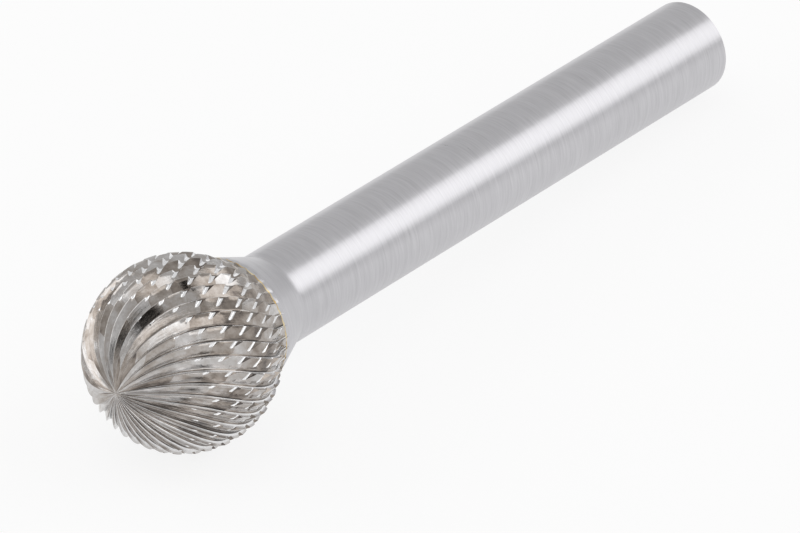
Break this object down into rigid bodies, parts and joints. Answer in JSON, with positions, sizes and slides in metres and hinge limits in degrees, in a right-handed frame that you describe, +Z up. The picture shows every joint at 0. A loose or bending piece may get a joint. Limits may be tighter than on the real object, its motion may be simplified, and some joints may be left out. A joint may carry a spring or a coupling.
{
  "type": "carbide burr",
  "caption": "Ball-nosed rotary burr with ground helical cutting teeth, a flared neck and a plain round shank for a collet.",
  "frame": {"origin": "on the floor, under the middle of the burr's bounding box, with the burr lying on its ball and the far edge of its shank", "axes": "+X along the burr from the ball towards the free end of the shank, which falls 3.46 degrees that way; +Y to the left, seen along +X with +Z up; +Z up"},
  "size_m": [0.056, 0.012, 0.012],
  "materials": {
    "carbide": "ground tungsten carbide, bright",
    "braze": "brazing alloy",
    "shank_steel": "fine ground steel, satin"
  },
  "bodies": {
    "root": {"burr_head": "carbide", "braze_joint": "braze", "shank": "shank_steel"}
  },
  "joints": []
}
